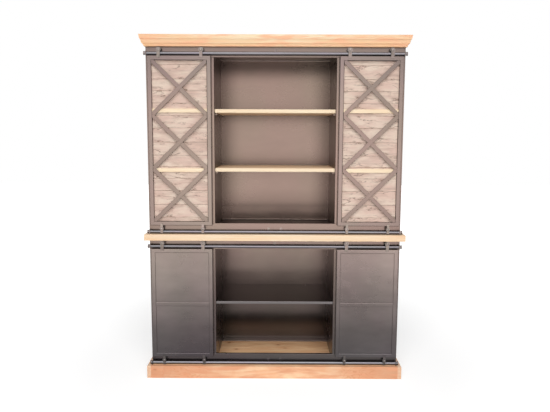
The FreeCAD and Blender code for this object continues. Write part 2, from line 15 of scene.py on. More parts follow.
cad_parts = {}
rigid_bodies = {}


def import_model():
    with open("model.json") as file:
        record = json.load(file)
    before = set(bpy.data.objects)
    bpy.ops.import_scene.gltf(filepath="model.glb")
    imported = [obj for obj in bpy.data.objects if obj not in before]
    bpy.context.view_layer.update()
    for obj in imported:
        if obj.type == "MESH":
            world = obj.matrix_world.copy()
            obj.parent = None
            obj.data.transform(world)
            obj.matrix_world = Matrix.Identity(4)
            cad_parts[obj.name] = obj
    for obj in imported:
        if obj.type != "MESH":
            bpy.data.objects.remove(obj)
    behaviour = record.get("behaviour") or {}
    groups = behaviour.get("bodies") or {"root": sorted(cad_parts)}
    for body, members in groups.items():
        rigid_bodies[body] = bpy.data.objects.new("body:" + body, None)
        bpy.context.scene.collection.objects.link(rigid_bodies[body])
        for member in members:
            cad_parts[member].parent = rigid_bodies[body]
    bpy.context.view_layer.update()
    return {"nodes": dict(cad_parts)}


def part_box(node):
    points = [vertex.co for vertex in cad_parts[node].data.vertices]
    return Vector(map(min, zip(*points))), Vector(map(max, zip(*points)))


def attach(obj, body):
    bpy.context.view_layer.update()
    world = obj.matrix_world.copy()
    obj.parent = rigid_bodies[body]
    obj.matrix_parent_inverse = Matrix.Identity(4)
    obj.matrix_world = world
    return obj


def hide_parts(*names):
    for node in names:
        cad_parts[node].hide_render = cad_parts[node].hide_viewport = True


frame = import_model()
collection = bpy.context.scene.collection

# %% [markdown]
# ## The camera
# The photograph was taken from standing height, straight in front. A camera could be placed by eye,
# but then no edge could be compared with the photograph. So the view was worked out from the corners
# of the dresser, as a focal length in pixels, a place, and three small angles.

# %% The camera
MM = 0.001
FOCAL_PIXELS, PICTURE_PIXELS = 565.75, 550
SENSOR = 36.0
CAMERA_PLACE = Vector((10.7, -3812.7, 1576.5)) * MM
CAMERA_PITCH, CAMERA_ROLL, CAMERA_YAW = 0.121, 0.004, -0.0027


def add_camera():
    """A camera that looks slightly down at the dresser."""
    ahead = Vector((
        math.sin(CAMERA_YAW) * math.cos(CAMERA_PITCH),
        math.cos(CAMERA_YAW) * math.cos(CAMERA_PITCH),
        -math.sin(CAMERA_PITCH),
    ))
    level = Vector((math.cos(CAMERA_YAW), -math.sin(CAMERA_YAW), 0))
    above = level.cross(ahead)
    right = level * math.cos(CAMERA_ROLL) + above * math.sin(CAMERA_ROLL)
    up = above * math.cos(CAMERA_ROLL) - level * math.sin(CAMERA_ROLL)
    turn = Matrix((right, up, -ahead)).transposed()
    data = bpy.data.cameras.new("front_camera")
    data.sensor_width = SENSOR
    data.lens = SENSOR * (FOCAL_PIXELS / PICTURE_PIXELS)
    camera = bpy.data.objects.new("front_camera", data)
    camera.matrix_world = Matrix.Translation(CAMERA_PLACE) @ turn.to_4x4()
    collection.objects.link(camera)
    bpy.context.scene.camera = camera
    return camera


print("Lens in millimetres:", round(add_camera().data.lens, 2))

# %% [markdown]
# ## Short ways to add nodes
# A finish is a tree of nodes that turns a place on the dresser into a colour and a roughness. It
# could be drawn by hand in the shader editor. Written out, it can be read, repeated and changed, but
# adding and joining nodes takes many long lines. These helpers do both at once, in any kind of tree.

# %% Helpers for nodes
def adder(tree):
    """A short way to add a node to a tree, with what feeds its inputs and with its settings."""
    def add(kind, feeds=None, **settings):
        whole_name = kind.startswith(("GeometryNode", "NodeGroup"))
        node = tree.nodes.new(kind if whole_name else "ShaderNode" + kind)
        for key, setting in settings.items():
            setattr(node, key, setting)
        for label, feed in (feeds or {}).items():
            if isinstance(feed, bpy.types.NodeSocket):
                tree.links.new(feed, node.inputs[label])
            else:
                node.inputs[label].default_value = feed
        return node

    return add


def new_material(name):
    """An empty material, and the short way to add nodes to it."""
    material = bpy.data.materials.new(name)
    material.use_nodes = True
    material.node_tree.nodes.clear()
    return material, adder(material.node_tree)


def maths(add, operation, *values):
    """A sum on values, each a socket or a number."""
    return add("Math", dict(enumerate(values)), operation=operation).outputs[0]


def vectors(add, operation, *values):
    """The same for places and colours."""
    return add("VectorMath", dict(enumerate(values)), operation=operation).outputs[0]


def product(add, *values):
    """Values multiplied together."""
    total = values[0]
    for value in values[1:]:
        total = maths(add, "MULTIPLY", total, value)
    return total


def spread(add, value, low, high, out_low=0.0, out_high=1.0):
    """Stretches part of a value's range to another range, and clamps it."""
    limits = {"From Min": low, "From Max": high, "To Min": out_low, "To Max": out_high}
    return add("MapRange", {"Value": value} | limits, clamp=True).outputs[0]


print("Materials that came with the packed model:", len(bpy.data.materials))

# %% [markdown]
# ## Floor and surroundings
# The dresser stands in a plain white studio. Floor and surroundings could be painted white, but a
# white that looks pure to the camera would light the dresser far too much. So both are bright only
# for rays from the camera and for mirror rays, and dim for the light that falls on the wood.

# %% Floor and world
WHITE = (1.0, 1.0, 1.0, 1.0)
FLOOR_SIZE = 30.0
FLOOR_TINT = 0.6
GLOW_NEAR, GLOW_FAR = 0.55, 0.97
GLOW_START, GLOW_END = 1.2, 4.0
FILL_STRENGTH = 0.15


def seen_directly(add):
    """One for rays from the camera and for mirror and glass rays, and zero for the rest."""
    path = add("LightPath").outputs
    either = maths(add, "MAXIMUM", path["Is Camera Ray"], path["Is Glossy Ray"])
    return maths(add, "MAXIMUM", either, path["Is Transmission Ray"])


def add_floor():
    """A white floor that keeps a soft shadow under the dresser."""
    material, add = new_material("studio_floor")
    paint = add("BsdfDiffuse", {"Color": (FLOOR_TINT, FLOOR_TINT, FLOOR_TINT, 1)}).outputs[0]
    place = add("TexCoord").outputs["Object"]
    distance = add("VectorMath", {0: place}, operation="LENGTH").outputs["Value"]
    strength = spread(add, distance, GLOW_START, GLOW_END, GLOW_NEAR, GLOW_FAR)
    glow = add("Emission", {"Color": WHITE, "Strength": strength}).outputs[0]
    both = add("AddShader", {0: paint, 1: glow}).outputs[0]
    mixed = add("MixShader", {0: seen_directly(add), 1: paint, 2: both}).outputs[0]
    add("OutputMaterial", {"Surface": mixed})
    mesh = bpy.data.meshes.new("studio_floor")
    half = FLOOR_SIZE / 2
    corners = [(-half, -half, 0), (half, -half, 0), (half, half, 0), (-half, half, 0)]
    mesh.from_pydata(corners, [], [(0, 1, 2, 3)])
    mesh.materials.append(material)
    floor = bpy.data.objects.new("studio_floor", mesh)
    collection.objects.link(floor)


def add_world():
    """White surroundings that light the dresser a little and show as pure white."""
    world = bpy.data.worlds.new("studio_world")
    world.use_nodes = True
    world.node_tree.nodes.clear()
    add = adder(world.node_tree)
    strength = spread(add, seen_directly(add), 0.0, 1.0, FILL_STRENGTH, 1.0)
    background = add("Background", {"Color": WHITE, "Strength": strength}).outputs[0]
    add("OutputWorld", {"Surface": background})
    bpy.context.scene.world = world


add_floor()
add_world()
print("The floor's width in metres:", FLOOR_SIZE)

# %% [markdown]
# ## Lamps
# Metal shows what it mirrors, so it gets a light of its own: a tall screen behind the camera that
# only reflections see. High up the steel mirrors the screen, and lower down it mirrors the floor, so
# it fades from light to dark as in the photograph. A soft front lamp of the same size lights the wood
# and the boards, and a wide ceiling light high in front reaches the shelves and the floor inside.

# %% Lamps
SCREEN_POWER = 112.0
FRONT_POWER = 152.0
SCREEN_SIZE = (4.2, 2.9)
SCREEN_PLACE = Vector((0.0, -4.4, 1.5))
CEILING_STRENGTH = 1.8
CEILING_SOFTNESS = math.radians(45)
CEILING_ANGLE = math.radians(46)
CEILING_PLACE = Vector((0.0, -2.0, 4.0))


def add_lamp(kind, name, place, towards, **settings):
    """A lamp at a place, which shines in a direction. It is handed back."""
    data = bpy.data.lights.new(name, kind)
    for key, setting in settings.items():
        setattr(data, key, setting)
    lamp = bpy.data.objects.new(name, data)
    turn = towards.to_track_quat("-Z", "Y").to_matrix().to_4x4()
    lamp.matrix_world = Matrix.Translation(place) @ turn
    collection.objects.link(lamp)
    return lamp


for name, power in (("steel_screen", SCREEN_POWER), ("front_lamp", FRONT_POWER)):
    lamp = add_lamp(
        "AREA", name, SCREEN_PLACE, Vector((0, 1, 0)),
        shape="RECTANGLE", energy=power, size=SCREEN_SIZE[0], size_y=SCREEN_SIZE[1],
    )
    lamp.visible_diffuse = name == "front_lamp"
    lamp.visible_glossy = name == "steel_screen"
add_lamp(
    "SUN", "ceiling_light", CEILING_PLACE, Vector((0, math.cos(CEILING_ANGLE), -math.sin(CEILING_ANGLE))),
    energy=CEILING_STRENGTH, angle=CEILING_SOFTNESS,
)
bpy.context.scene.view_settings.view_transform = "Standard"
print("The screen's width and height in metres:", SCREEN_SIZE)

# %% [markdown]
# ## Clouds out of noise
# Real steel and wood are never one flat colour. A picture of each could be laid over the pieces, but
# it would blur from near and repeat. Noise in three dimensions goes right through a piece, fits any
# size and has no seams. These helpers stretch noise, mix by it and raise small relief from it.

# %% Noise and mixes
NOISE_RANGE = (0.3, 0.7)


def noise(add, place, scale, detail=4.0, roughness=0.55, stretch=(1, 1, 1)):
    """Noise on a place, whose scale differs along each axis."""
    stretched = vectors(add, "MULTIPLY", place, stretch)
    feeds = {"Vector": stretched, "Scale": scale, "Detail": detail, "Roughness": roughness}
    return add("TexNoise", feeds).outputs["Fac"]


def colour_mix(add, factor, low, high):
    """Mixes two colours by a factor; each may be a socket or a colour."""
    low, high = ((*colour, 1) if isinstance(colour, tuple) else colour for colour in (low, high))
    return add("Mix", {0: factor, 6: low, 7: high}, data_type="RGBA").outputs[2]


def value_mix(add, share, first, second):
    """Mixes two values, with a fixed share of the second."""
    return add("Mix", {0: share, 2: first, 3: second}, data_type="FLOAT").outputs[0]


def scaled(add, vector, factor):
    """A colour or another vector times a value."""
    return add("VectorMath", {0: vector, "Scale": factor}, operation="SCALE").outputs[0]


def bump(add, height, distance, strength):
    """Small relief from a height."""
    feeds = {"Height": height, "Distance": distance, "Strength": strength}
    return add("Bump", feeds).outputs["Normal"]


def coat(material, add, surface):
    """Ends a material with one shader that takes these values, and hands it back."""
    add("OutputMaterial", {"Surface": add("BsdfPrincipled", surface).outputs[0]})
    return material


print("Most of a noise's values lie in", NOISE_RANGE)

# %% [markdown]
# ## Lacquered steel
# The cabinets are bare mild steel under clear lacquer: brown grey, with cloudy patches from the mill.
# Their colour is painted warm at mid height and cooler, mostly darker, above and below: painted
# reflection and shade of the room that the steel mirrors. A metallic surface needs no paint colour of
# its own. What drifts over it is how dark, how rosy and how rough it is, so slow noise at two scales
# changes all three. A big sheet can also be painted darker or lighter towards set places: painted
# shade on the backs near the partitions, the ceiling and the floor, with a painted light band just
# above the upper floor, and painted light and shade on the lower doors.

# %% Steel
WARM_HEIGHT = 1.4
WARM_REACH, COOL_REACH = 0.35, 1.3
ROLLED_SHARE = 0.25
ROLLED_FINENESS, HUE_FINENESS = 5, 0.9
CLOUD_RANGE, HUE_RANGE = (0.36, 0.64), (0.4, 0.6)
ROSY, OLIVE = (1.03, 0.98, 1.01), (0.985, 1.0, 0.985)
SHEET_MIDDLE = (0.2592, 0.2588)
EDGE_PLACE = -0.1845
GRIT_SCALE, GRIT_RELIEF = 420.0, 0.2 * MM


def painted_height_shade(add, place, warm, cool):
    """A tint of painted reflection and shade: warm at mid height and cooler towards the floor and the
    crown.
    """
    height = add("SeparateXYZ", {0: place}).outputs["Z"]
    distance = maths(add, "ABSOLUTE", maths(add, "SUBTRACT", height, WARM_HEIGHT))
    return colour_mix(add, spread(add, distance, WARM_REACH, COOL_REACH), warm, cool)


def reach(add, axis, near, far):
    """Zero up to one distance from the origin along an axis, and one past another."""
    apart = add("SeparateXYZ", {0: add("TexCoord").outputs["Object"]}).outputs
    return spread(add, maths(add, "ABSOLUTE", apart[axis]), near, far)


def painted_light_and_shade(add, shades):
    """A factor of painted light and shade that turns to each tone at its place, but stays one on a back
    sheet's outer side.
    """
    parts = [spread(add, reach(add, axis, *ends), 0.0, 1.0, 1.0, tone) for axis, *ends, tone in shades]
    return maths(add, "POWER", product(add, *parts), reach(add, "Y", *SHEET_MIDDLE))


def steel(
    name, warm, cool, rough=(0.24, 0.34), cloud=1.7, depth=0.1, grit=0.06, glance=1.0, edge=None, shades=()
):
    """Metal whose shade, hue and roughness drift in soft clouds."""
    material, add = new_material(name)
    place = add("TexCoord").outputs["Object"]
    clouds = noise(add, place, scale=cloud, detail=3.0, roughness=0.5)
    rolled = noise(add, place, scale=cloud * ROLLED_FINENESS, stretch=(1, 1, 2.5))
    both = value_mix(add, ROLLED_SHARE, clouds, rolled)
    shade = spread(add, both, *CLOUD_RANGE, 1 - depth, 1 + depth)
    # Painted reflection and shade: the colour changes with height
    colour = scaled(add, painted_height_shade(add, place, warm, cool), shade)
    hue = noise(add, place, scale=cloud * HUE_FINENESS, detail=2.0, stretch=(1.3, 1, 0.8))
    tint = colour_mix(add, spread(add, hue, *HUE_RANGE), ROSY, OLIVE)
    colour = vectors(add, "MULTIPLY", colour, tint)
    if edge:
        apart = add("SeparateXYZ", {0: place}).outputs
        front = spread(add, apart["Y"], EDGE_PLACE, EDGE_PLACE + MM, 1.0, 0.0)
        colour = colour_mix(add, front, colour, edge)
    # Painted light and shade towards set places
    if shades:
        colour = scaled(add, colour, painted_light_and_shade(add, shades))
    surface = {
        "Base Color": colour, "Metallic": 1.0, "Specular Tint": (glance, glance, glance, 1),
        "Roughness": spread(add, both, *NOISE_RANGE, *rough),
    }
    if grit:
        fine = noise(add, place, scale=GRIT_SCALE, detail=2.0)
        surface["Normal"] = bump(add, fine, GRIT_RELIEF, grit)
    return coat(material, add, surface)


print("The steel is warmest at a height of", WARM_HEIGHT, "metres")

# %% [markdown]
# ## A steel for each kind of piece
# One steel for all would be simpler, but in the photograph each kind has its own tone and gloss,
# because each mirrors another part of the room. So some tones here are painted reflection and shade:
# the dark floor sheet and shelves, the light lips, and the tone that changes over the backs and the
# lower doors. One recipe gives them all: large calm clouds on the cabinets, small busy ones on
# brackets and bolts, and hardly any on the rails.

# %% Steel finishes
# Each painted shade is an axis, the distances along it where a change starts and ends, and the tone past
# it; a tone under one paints shade, over one paints light
# Painted shade towards the partitions, the ceiling and the floor, and a painted light band just above the
# floor
UPPER_BAY_PAINTED_SHADING = (
    ("X", 0.25, 0.35, 0.79), ("Z", 1.95, 2.05, 0.8), ("Z", 1.21, 1.07, 0.76), ("Z", 1.085, 1.04, 2.4),
)
# Painted shade towards the partitions of the lower bay
LOWER_BAY_PAINTED_SHADING = (("X", 0.22, 0.35, 0.82),)
# Painted light towards the doors' outer sides and below their top strip, and painted shade again towards
# their foot
LOWER_DOOR_PAINTED_SHADING = (
    ("X", 0.45, 0.75, 1.12), ("Z", 0.84, 0.72, 1.17), ("Z", 0.61, 0.56, 0.95), ("Z", 0.42, 0.32, 0.83),
)
cabinet_steel = steel("cabinet_steel", warm=(0.13, 0.094, 0.078), cool=(0.084, 0.073, 0.072), grit=0)
upper_sheet_steel = steel(
    "upper_sheet_steel", warm=(0.109, 0.08, 0.065), cool=(0.12, 0.085, 0.07),
    rough=(0.23, 0.31), grit=0, glance=0.8, shades=UPPER_BAY_PAINTED_SHADING,
)
# Much darker than the cabinet steel: painted shade on the upper bay's floor
floor_sheet_steel = steel(
    "floor_sheet_steel", warm=(0.05, 0.042, 0.038), cool=(0.05, 0.042, 0.038),
    rough=(0.26, 0.32), grit=0, glance=0.4,
)
# Lighter than the backs it is folded from: painted highlight along the folds
lip_highlight_steel = steel(
    "lip_highlight_steel", warm=(0.2, 0.155, 0.13), cool=(0.19, 0.155, 0.14), rough=(0.3, 0.4), grit=0, glance=0.8
)
# Much lighter at the top of the lower bay than at its foot: painted reflection and shade
lower_sheet_steel = steel(
    "lower_sheet_steel", warm=(0.175, 0.128, 0.106), cool=(0.082, 0.071, 0.065),
    rough=(0.16, 0.26), grit=0, glance=0.6, shades=LOWER_BAY_PAINTED_SHADING,
)
# Much darker than the cabinet steel except on the front faces: painted shade on the tops of the folded
# shelves
shelf_steel = steel(
    "shelf_steel", warm=(0.05, 0.042, 0.04), cool=(0.046, 0.04, 0.039),
    rough=(0.2, 0.3), grit=0, glance=0.6, edge=(0.145, 0.131, 0.13),
)
door_steel = steel(
    "door_steel", warm=(0.13, 0.1, 0.086), cool=(0.08, 0.071, 0.074), cloud=3.0, grit=0.02
)
cross_steel = steel(
    "cross_steel", warm=(0.12, 0.09, 0.076), cool=(0.08, 0.071, 0.074), cloud=3.0, grit=0.02
)
panel_steel = steel(
    "panel_steel", warm=(0.16, 0.127, 0.109), cool=(0.08, 0.072, 0.076),
    cloud=2.2, depth=0.14, grit=0, shades=LOWER_DOOR_PAINTED_SHADING,
)
bracket_steel = steel(
    "bracket_steel", warm=(0.148, 0.119, 0.103), cool=(0.095, 0.085, 0.083), cloud=30.0, depth=0.3
)
rail_steel = steel(
    "rail_steel", warm=(0.132, 0.124, 0.132), cool=(0.13, 0.125, 0.136),
    rough=(0.32, 0.38), cloud=5.0, depth=0.05, grit=0,
)
wheel_steel = steel(
    "wheel_steel", warm=(0.16, 0.141, 0.13), cool=(0.13, 0.12, 0.117), cloud=30.0, depth=0.25
)
bolt_steel = steel(
    "bolt_steel", warm=(0.195, 0.168, 0.15), cool=(0.13, 0.117, 0.11), cloud=40.0, depth=0.3
)
print("Materials with the steel ones:", len(bpy.data.materials))

# %% [markdown]
# ## Grain
# Plinth, counter, crown and shelves are a pale, slightly orange softwood. Grain is a set of rings
# round the trunk's heart, so the pattern is rings round a line that runs along the board, bent by
# slow noise. A flat picture of grain would look pasted on where a board turns its corner. Each board
# carries a vector that moves it to a place of its own in the trunk.

# %% Rings
AXES = "xyz"
BOARD_JUMP = (7.0, 5.0, 3.0)
TRUNK_WANDER = 0.09
HEART_PLACE = (0.013, 0.021, 0.037)
RING_STRETCH = 0.06
RING_WAVE = {"Scale": 26.0, "Distortion": 2.2, "Detail": 3.0, "Detail Scale": 0.6}
RING_RANGE = (0.25, 1.0)


def along(axis, run, across):
    """A scale for each axis: one along the grain and another across it."""
    return tuple(run if name == axis else across for name in AXES)


def board_place(add):
    """Object coordinates that jump from board to board, so that no two boards share their grain."""
    board = add("Attribute", attribute_name="board").outputs["Vector"]
    return vectors(add, "MULTIPLY_ADD", board, BOARD_JUMP, add("TexCoord").outputs["Object"])


def trunk_place(add, place, axis):
    """The place in a trunk whose heart wanders slowly along the board."""
    drift = noise(add, place, scale=1.6, detail=2.0, stretch=along(axis, 0.5, 3.0))
    return vectors(add, "MULTIPLY_ADD", drift, along(axis, 0.0, TRUNK_WANDER), place)


def year_rings(add, trunk, axis):
    """Rings round the heart, whose outline changes only slowly along the board."""
    place = vectors(add, "MULTIPLY_ADD", trunk, along(axis, RING_STRETCH, 1.0), HEART_PLACE)
    feeds = {"Vector": place} | RING_WAVE
    rings = add("TexWave", feeds, wave_type="RINGS", rings_direction=axis.upper())
    return spread(add, rings.outputs["Fac"], *RING_RANGE)


print("The heart wanders by up to", TRUNK_WANDER, "metres")

# %% [markdown]
# ## Knots and curls
# A branch leaves a dark knot, and the grain flows round it in curls. Knots could be modelled, but on
# planed wood they are only colour. Points scattered over the unrolled board give the knots, and slow
# noise folded into even steps gives the curls, like height lines on a map.

# %% Knots and curls
KNOTS_PER_METRE = 6.0
KNOT_STRETCH = 0.55
KNOT_RING, KNOT_HEART = (0.62, 0.24, 0.1), (0.25, 0.06, 0.015)
RING_LIMITS, HEART_LIMITS = (0.03, 0.16), (0.015, 0.06)
RING_STRENGTH = 0.5
CURL_STEP = 0.05
CURL_WIDTH_SHARE = 0.35
CURLS_START, CURLS_END = (0.4, 0.48), (0.72, 0.64)


def unrolled(add, place, axis):
    """Flat coordinates: along the grain, and round the board's front and top as if they were one face."""
    apart = add("SeparateXYZ", {0: place}).outputs
    run = maths(add, "MULTIPLY", apart[axis.upper()], KNOT_STRETCH)
    across = maths(add, "ADD", apart["X" if axis == "y" else "Y"], apart["Z"])
    return add("CombineXYZ", {"X": run, "Y": across}).outputs[0]


def knotted(add, colour, trunk, axis, strength):
    """A colour with knots, each a dark heart in a brown ring."""
    feeds = {"Vector": unrolled(add, trunk, axis), "Scale": KNOTS_PER_METRE}
    cells = add("TexVoronoi", feeds, feature="F1", voronoi_dimensions="2D").outputs["Distance"]
    ring = spread(add, cells, *RING_LIMITS, strength * RING_STRENGTH, 0.0)
    heart = spread(add, cells, *HEART_LIMITS, strength, 0.0)
    return colour_mix(add, heart, colour_mix(add, ring, colour, KNOT_RING), KNOT_HEART)


def curled(add, colour, place, axis, strength):
    """A colour with thin curled lines, some way out on both sides of the middle."""
    flow = noise(add, place, scale=8.0, detail=1.5, stretch=along(axis, 1.0, 2.4))
    folded = maths(add, "PINGPONG", flow, CURL_STEP)
    line = spread(add, folded, 0.0, CURL_STEP * CURL_WIDTH_SHARE, strength, 0.0)
    inward = product(add, reach(add, "X", *CURLS_START), reach(add, "X", *CURLS_END))
    return colour_mix(add, product(add, line, inward), colour, KNOT_RING)


print("Places for a knot along a metre of board:", round(KNOTS_PER_METRE * KNOT_STRETCH, 1))

# %% [markdown]
# ## Timber for each board
# Light wood is one recipe with its own colours for each piece. Rings, fibres and broad streaks are
# mixed to one tone between a pale and a dark one. A blush in patches lies over the crown and the
# plinth, and crown, counter and plinth grow deeper towards their ends, as in the photograph. The
# crown also grows deeper towards its foot, and the shelves between their front and back edges:
# painted shade on faces that get less light. One plain timber for all would look like plastic.

# %% Timber finishes
FIBRE_RANGE, STREAK_RANGE, BLUSH_RANGE = (0.35, 0.7), (0.38, 0.62), (0.46, 0.62)
FIBRE_SHARE, STREAK_SHARE = 0.6, 0.5
BLUSH_STRETCH = (1.1, 7.0)
WOOD_ROUGH = (0.44, 0.6)
WOOD_RELIEF = 0.6 * MM
TOWARDS_ENDS = ("X", 0.15, 0.85)


def timber(
    name, pale, dark, axis="x", knots=0.0, figure=(0.4, 7.0), deeper=(), deep=None, curls=0.0, blush=None
):
    """Wood with rings and fibres along one axis, and where asked with deeper ends, patches and knots."""
    material, add = new_material(name)
    place = board_place(add)
    trunk = trunk_place(add, place, axis)
    fibres = noise(add, place, scale=6.0, detail=5.0, roughness=0.7, stretch=along(axis, 0.8, 90.0))
    streaks = noise(add, place, scale=6.0, detail=3.0, stretch=along(axis, *figure))
    grain = value_mix(add, FIBRE_SHARE, year_rings(add, trunk, axis), spread(add, fibres, *FIBRE_RANGE))
    tone = value_mix(add, STREAK_SHARE, grain, spread(add, streaks, *STREAK_RANGE))
    colour = colour_mix(add, tone, pale, dark)
    for place_axis, near, far, share in deeper:
        change = product(add, reach(add, place_axis, near, far), share)
        colour = colour_mix(add, change, colour, deep)
    if blush:
        patches = noise(add, place, scale=5.0, detail=2.5, stretch=along(axis, *BLUSH_STRETCH))
        colour = colour_mix(add, spread(add, patches, *BLUSH_RANGE), colour, blush)
    if curls:
        colour = curled(add, colour, place, axis, curls)
    if knots:
        colour = knotted(add, colour, trunk, axis, knots)
    return coat(material, add, {
        "Base Color": colour, "Roughness": spread(add, fibres, *NOISE_RANGE, *WOOD_ROUGH),
        "Specular IOR Level": 0.35, "Normal": bump(add, fibres, WOOD_RELIEF, strength=0.35),
    })


# The crown grows deeper from its top band down to its foot: painted shade on the lower mouldings, which
# face less light than the band
crown_wood = timber(
    "crown_wood", pale=(0.98, 0.92, 0.7), dark=(0.95, 0.64, 0.34),
    deeper=((*TOWARDS_ENDS, 0.65), ("Z", 2.19, 2.14, 0.5)), deep=(0.92, 0.48, 0.235),
    blush=(0.96, 0.53, 0.31),
)
crown_end_wood = timber("crown_end_wood", pale=(0.95, 0.66, 0.4), dark=(0.84, 0.42, 0.2), axis="y")
counter_wood = timber(
    "counter_wood", pale=(0.91, 0.76, 0.56), dark=(0.85, 0.57, 0.335),
    deeper=((*TOWARDS_ENDS, 0.3),), deep=(0.82, 0.48, 0.28),
)
plinth_wood = timber(
    "plinth_wood", pale=(0.95, 0.7, 0.45), dark=(0.84, 0.4, 0.21), knots=0.35, figure=(1.2, 2.6),
    deeper=((*TOWARDS_ENDS, 0.85),), deep=(0.62, 0.262, 0.138), curls=0.6, blush=(0.76, 0.36, 0.2),
)
plinth_end_wood = timber(
    "plinth_end_wood", pale=(0.84, 0.58, 0.39), dark=(0.72, 0.41, 0.26), axis="y", knots=0.3
)
# The shelves grow deeper between their front and back edges: painted shade on their tops, which face less
# light than their fronts
shelf_wood = timber(
    "shelf_wood", pale=(0.93, 0.78, 0.57), dark=(0.86, 0.64, 0.42),
    deeper=(("Y", 0.177, 0.17, 0.7),), deep=(0.8, 0.53, 0.33),
)
floor_wood = timber(
    "floor_wood", pale=(0.96, 0.64, 0.37), dark=(0.72, 0.35, 0.165), knots=0.9, figure=(0.8, 4.0)
)
tongue_wood = timber("tongue_wood", pale=(0.3, 0.185, 0.13), dark=(0.2, 0.115, 0.075))
print("Materials with the timber ones:", len(bpy.data.materials))

# %% [markdown]
# ## Whitewashed boards
# The upper doors are filled with rough-sawn boards, rubbed with thin white paint that leaves the
# grain and the saw marks dark. Paint and wood could be two layers, but one colour that slow noise
# drifts from pink to cream and grey gives the same and is simpler. Thin dark contours of a second
# noise, stretched along the board, draw its figure, and a third one breaks them up.

# %% Whitewash
PINK_WASH, CREAM_WASH, GREY_WASH = (0.725, 0.53, 0.445), (0.795, 0.64, 0.53), (0.58, 0.425, 0.355)
BARE_WOOD, DARK_CRACK = (0.37, 0.23, 0.17), (0.16, 0.085, 0.06)
CREAM_RANGE, GREY_RANGE, BARE_RANGE, CRACK_RANGE = (0.4, 0.6), (0.5, 0.72), (0.5, 0.76), (0.46, 0.6)
BARE_MOST = 0.6
NOISE_MIDDLE = 0.5
CRACK_WIDTH, CRACK_DEPTH = 0.025, 0.9
WASH_RELIEF, RELIEF_SHARE = 2 * MM, 0.5


def contour(add, value, width, depth):
    """Lines where a value passes its middle."""
    distance = maths(add, "ABSOLUTE", maths(add, "SUBTRACT", value, NOISE_MIDDLE))
    return spread(add, distance, 0.0, width, depth, 0.0)


def whitewash(name):
    """Pale wash on rough wood, worn through in streaks and cracks along the board."""
    material, add = new_material(name)
    place = board_place(add)
    tone = noise(add, place, scale=5.0, detail=3.0, stretch=(1.2, 4.0, 4.0))
    shade = noise(add, place, scale=6.0, stretch=(0.8, 5.0, 5.0))
    worn = noise(add, place, scale=9.0, detail=6.0, roughness=0.75, stretch=(1.0, 5.0, 5.0))
    figure = noise(add, place, scale=6.0, detail=5.0, roughness=0.6, stretch=(1.0, 4.0, 4.0))
    broken = noise(add, place, scale=9.0, detail=3.0, stretch=(1.0, 3.0, 3.0))
    colour = colour_mix(add, spread(add, tone, *CREAM_RANGE), PINK_WASH, CREAM_WASH)
    colour = colour_mix(add, spread(add, shade, *GREY_RANGE), colour, GREY_WASH)
    colour = colour_mix(add, spread(add, worn, *BARE_RANGE, 0.0, BARE_MOST), colour, BARE_WOOD)
    cracks = product(
        add, contour(add, figure, CRACK_WIDTH, CRACK_DEPTH), spread(add, broken, *CRACK_RANGE)
    )
    return coat(material, add, {
        "Base Color": colour_mix(add, cracks, colour, DARK_CRACK),
        "Roughness": 0.85, "Specular IOR Level": 0.2,
        "Normal": bump(add, value_mix(add, RELIEF_SHARE, worn, figure), WASH_RELIEF, strength=0.5),
    })


plank_wood = whitewash("plank_wood")
print("Materials with the whitewash:", len(bpy.data.materials))

# %% [markdown]
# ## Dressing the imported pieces
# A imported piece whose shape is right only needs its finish. A copy of it could be dressed, but then
# there would be two to keep alike. So its material slot is filled, and nothing else changes.

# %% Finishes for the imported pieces
FINISH_BY_NAME = {
    "crown_end_mouldings": crown_end_wood,
    "crown_front_moulding": crown_wood,
    "crown_top_board": crown_wood,
    "counter_board": counter_wood,
    "plinth_end_boards": plinth_end_wood,
    "plinth_long_boards": plinth_wood,
    "floor_boards": floor_wood,
    "upper_shelves": shelf_wood,
    "upper_floor_sheet": floor_sheet_steel,
    "upper_back_panel": upper_sheet_steel,
    "lower_back_panel": lower_sheet_steel,
}
FINISH_BY_ENDING = {
    "battens": shelf_wood,
    "planks": plank_wood,
    "wheel": wheel_steel,
    "rails": rail_steel,
    "bolts": bolt_steel,
    "straps": bracket_steel,
    "brackets": bracket_steel,
    "tabs": bracket_steel,
    "panels": panel_steel,
}


def finish_for(node):
    """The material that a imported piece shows, by its name or its last word."""
    if node in FINISH_BY_NAME:
        return FINISH_BY_NAME[node]
    usual = door_steel if "door" in node else cabinet_steel
    return FINISH_BY_ENDING.get(node.split("_")[-1], usual)


for node, thing in frame["nodes"].items():
    thing.data.materials.clear()
    thing.data.materials.append(finish_for(node))
print("Packed pieces with a finish:", len(frame["nodes"]))

# %% [markdown]
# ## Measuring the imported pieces
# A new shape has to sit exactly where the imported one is. Its sizes could be typed in again, but the
# two would drift apart with the first change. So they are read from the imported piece: its own box,
# or the box of every loose solid in it.

# %% Measures
ROOT = "cabinet"
WELD_DISTANCE = MM / 100
UPPER_DOORS = ["upper_left_door", "upper_right_door"]
LOWER_DOORS = ["lower_left_door", "lower_right_door"]
DOORS = UPPER_DOORS + LOWER_DOORS


def box_mm(node):
    """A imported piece's lowest and highest corners in millimetres."""
    low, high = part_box(node)
    return Vector(low) / MM, Vector(high) / MM


def corners_of_solids(node):
    """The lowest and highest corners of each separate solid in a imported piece, in millimetres."""
    work = bmesh.new()
    work.from_mesh(frame["nodes"][node].data)
    bmesh.ops.remove_doubles(work, verts=work.verts, dist=WELD_DISTANCE)
    left = set(work.verts)
    solids = []
    while left:
        stack = [left.pop()]
        points = []
        while stack:
            vert = stack.pop()
            points.append(vert.co / MM)
            near = {edge.other_vert(vert) for edge in vert.link_edges} & left
            left -= near
            stack.extend(near)
        solids.append((
            Vector(min(point[axis] for point in points) for axis in range(3)),
            Vector(max(point[axis] for point in points) for axis in range(3)),
        ))
    work.free()
    return sorted(solids, key=lambda solid: (solid[0].z, solid[0].x, solid[0].y))


